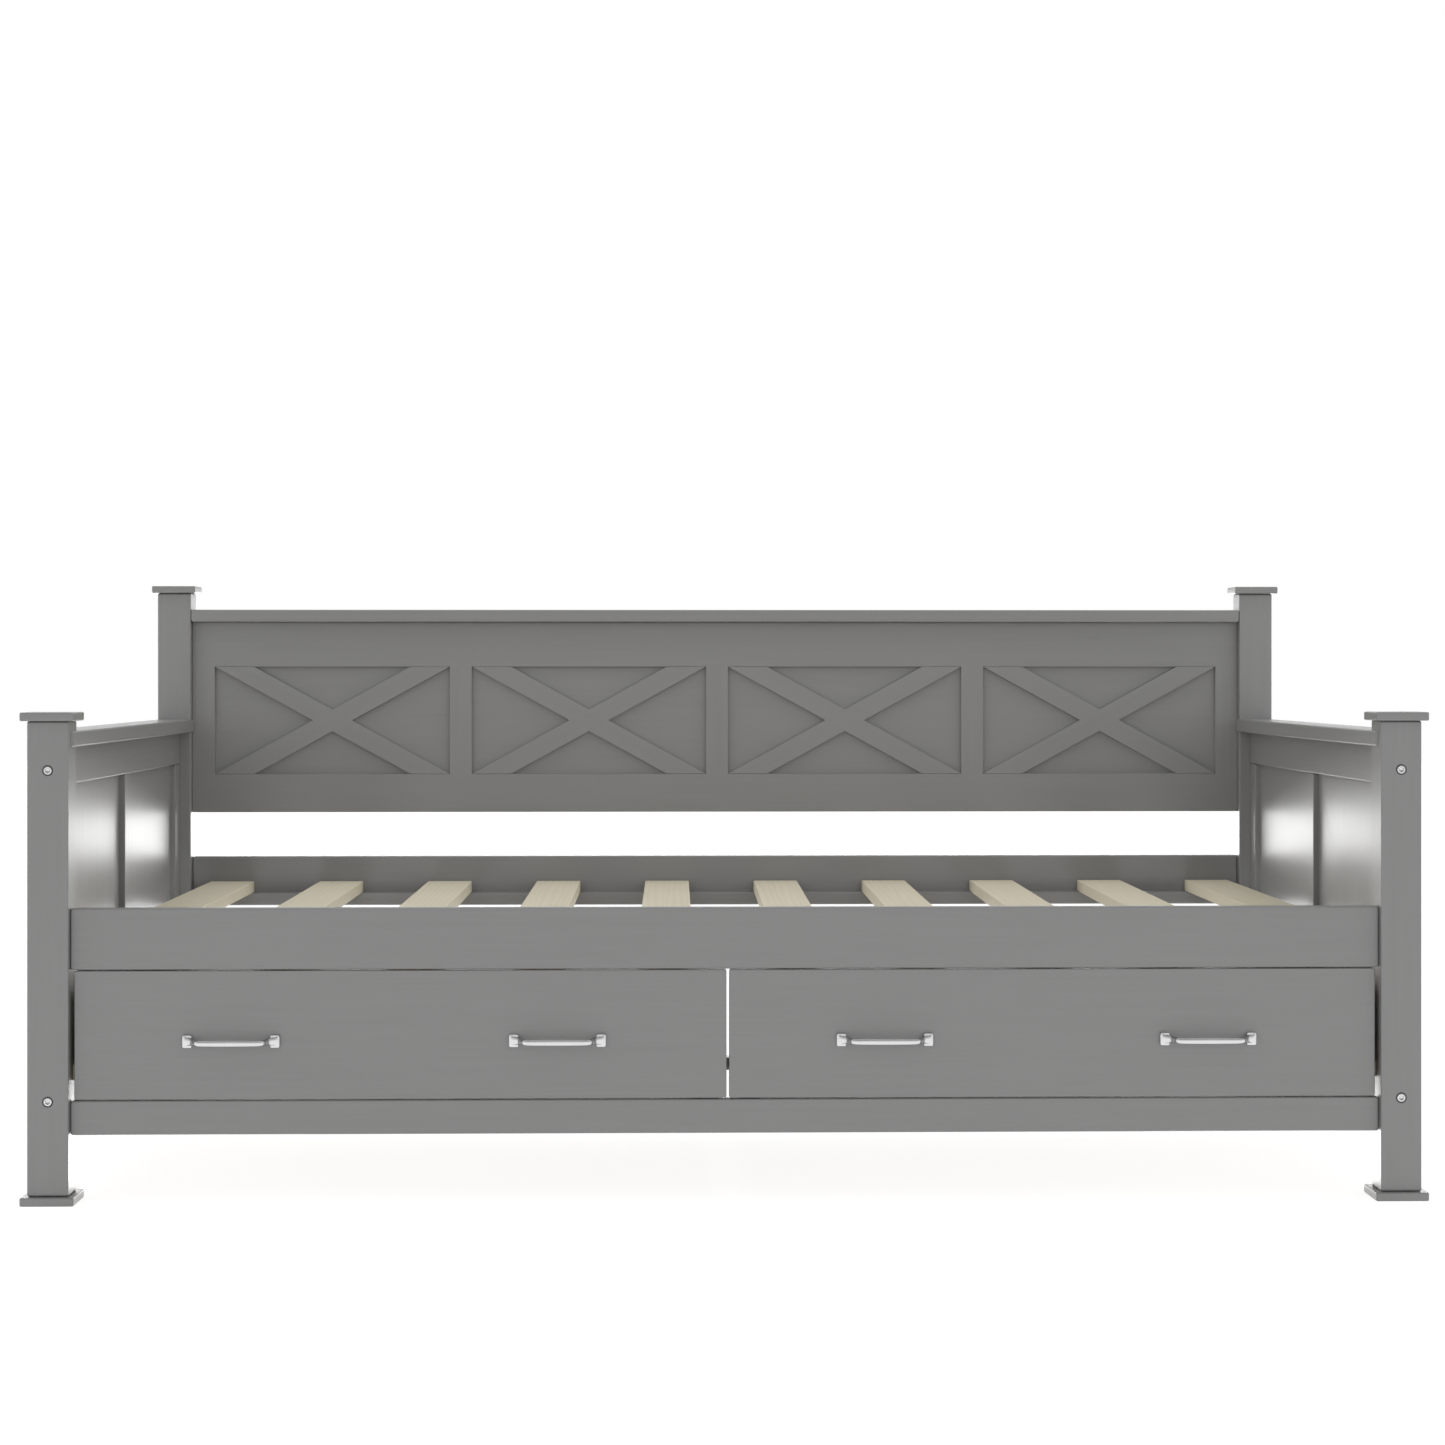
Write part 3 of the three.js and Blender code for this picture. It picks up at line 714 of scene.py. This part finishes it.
for side in ("left", "right"):
    for end in ("left", "right"):
        pullScrews(side, end, pullPiece(f"{side}_drawer_pull_{end}"))
print("pulls and bolts made")


# Screws of the cleats, one under each slat, and of the outer runners
cleatFaces = {
    "front": (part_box("front_cleat")[1].y, 1),
    "rear": (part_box("rear_cleat")[0].y, -1),
}
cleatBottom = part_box("front_cleat")[0].z
for number, name in enumerate(slats, 1):
    low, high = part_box(name)
    for end, (face, outward) in cleatFaces.items():
        place = ((low.x + high.x) / 2, face, cleatBottom + hardware["cleatScrewRise"])
        turnedPiece(f"{end}_cleat_screw_{number:02d}", scaled(sunkHead), place, (0, outward, 0), "frame")

runner = {"screws": 4, "guideSlack": 1 * mm, "guideRise": 15 * mm}
for side, inward in (("left", 1), ("right", -1)):
    low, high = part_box(side + "_runner")
    boxLow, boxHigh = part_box(side + "_drawer_box")
    face = boxLow.x - runner["guideSlack"] if side == "left" else boxHigh.x + runner["guideSlack"]
    for number in range(1, runner["screws"] + 1):
        y = low.y + (high.y - low.y) * number / (runner["screws"] + 1)
        place = (face, y, high.z - runner["guideRise"] / 2)
        turnedPiece(f"{side}_runner_screw_{number}", scaled(sunkHead), place, (inward, 0, 0), "frame")
print("screws made")


# Studio

studio = {
    "floorSize": 40,
    "floorColour": (0.8, 0.8, 0.8, 1),
    "floorShown": (0.3, 0.3, 0.3, 1),
    "floorGlow": (0.88, 0.88, 0.88, 1),
    "dome": 1.35,
    "zenith": 0.45,  # of the light at the horizon
    "dimFrom": 0.1,  # the rise at which the dome starts to dim, and at which it has dimmed
    "dimTo": 0.6,
}

# A wide lamp overhead. The others, behind the bed and on the floor, show in its gloss alone. The spread
# is in degrees.
lamps = {
    "top": {"place": (0, 0, 3.5), "target": (0, 0, 0), "size": (7.5, 2), "power": 48, "spread": 180},
    "strip": {"place": (0, 3, 0.45), "target": (0, 0, 0.45), "size": (7, 0.9), "power": 26, "spread": 110},
    "sheet": {"place": (0, 1.75, 0.002), "target": (0, 1.75, 1), "size": (5, 2.3),
              "power": 18, "spread": 110},
    "foot_left": {"place": (-0.8, 0.03, 0.002), "target": (-0.8, 0.03, 1), "size": (0.3, 0.9),
                  "power": 3.5, "spread": 180},
    "foot_right": {"place": (0.8, 0.03, 0.002), "target": (0.8, 0.03, 1), "size": (0.3, 0.9),
                   "power": 3.5, "spread": 180},
}


def seenDirectly(look):
    # 1 on rays from the camera, and on those in metal and glass as well
    path = {name: look.node("ShaderNodeLightPath", {}, {}, name)
            for name in ("Is Camera Ray", "Is Glossy Ray", "Is Transmission Ray")}
    mirrored = look.maths("MAXIMUM", path["Is Glossy Ray"], path["Is Transmission Ray"])
    return path["Is Camera Ray"], look.maths("MAXIMUM", path["Is Camera Ray"], mirrored)


def makeFloor():
    material, look = newMaterial("floor_white")
    camera, shown = seenDirectly(look)
    look.fill(look.shader, {
        "Base Color": look.blend(camera, studio["floorColour"], studio["floorShown"]),
        "Roughness": 1,
        "Specular IOR Level": 0,
        "Emission Color": look.blend(shown, (0, 0, 0, 1), studio["floorGlow"]),
        "Emission Strength": 1,
    })
    shape = bmesh.new()
    bmesh.ops.create_grid(shape, x_segments=1, y_segments=1, size=studio["floorSize"] / 2)
    mesh = bpy.data.meshes.new("floor")
    shape.to_mesh(mesh)
    shape.free()
    mesh.materials.append(material)
    floor = bpy.data.objects.new("floor", mesh)
    bpy.context.scene.collection.objects.link(floor)


def makeWorld():
    # white behind the object, and a dome that is dimmer overhead
    world = bpy.data.worlds.new("studio")
    bpy.context.scene.world = world
    world.use_nodes = True
    look = NodeSet(world.node_tree, world.node_tree.nodes["Background"])
    camera, shown = seenDirectly(look)
    way = look.node("ShaderNodeTexCoord", {}, {}, "Generated")
    heights = {
        "Value": look.node("ShaderNodeSeparateXYZ", {}, {0: way}, "Z"),
        "From Min": studio["dimFrom"],
        "From Max": studio["dimTo"],
        "To Min": 1,
        "To Max": studio["zenith"],
    }
    overhead = look.node("ShaderNodeMapRange", {"interpolation_type": "SMOOTHSTEP"}, heights)
    dome = (shown + (1 - shown) * studio["dome"]) * overhead
    look.fill(look.shader, {"Color": (1, 1, 1, 1), "Strength": camera + (1 - camera) * dome})


def makeLamp(name):
    made = lamps[name]
    light = bpy.data.lights.new(name, "AREA")
    light.shape = "RECTANGLE"
    light.size, light.size_y = made["size"]
    light.energy = made["power"]
    light.spread = math.radians(made["spread"])
    lamp = bpy.data.objects.new(name, light)
    bpy.context.scene.collection.objects.link(lamp)
    lamp.location = made["place"]
    lamp.rotation_euler = (Vector(made["target"]) - lamp.location).to_track_quat("-Z", "Y").to_euler()
    lamp.visible_camera = False
    lamp.visible_diffuse = name == "top"


view = {
    "place": (-0.0788, -4.75583, 0.7785),
    "turn": (math.radians(90), 0, math.radians(-1.26)),
    "lens": 71.457,
    "shift": (-0.01023, -0.03518),
}


def makeCamera():
    data = bpy.data.cameras.new("camera")
    data.sensor_width = 36
    data.lens = view["lens"]
    data.shift_x, data.shift_y = view["shift"]
    camera = bpy.data.objects.new("camera", data)
    bpy.context.scene.collection.objects.link(camera)
    camera.location = view["place"]
    camera.rotation_euler = view["turn"]
    bpy.context.scene.camera = camera


makeFloor()
makeWorld()
for name in lamps:
    makeLamp(name)
makeCamera()
bpy.context.scene.view_settings.view_transform = "Standard"
print("studio made")
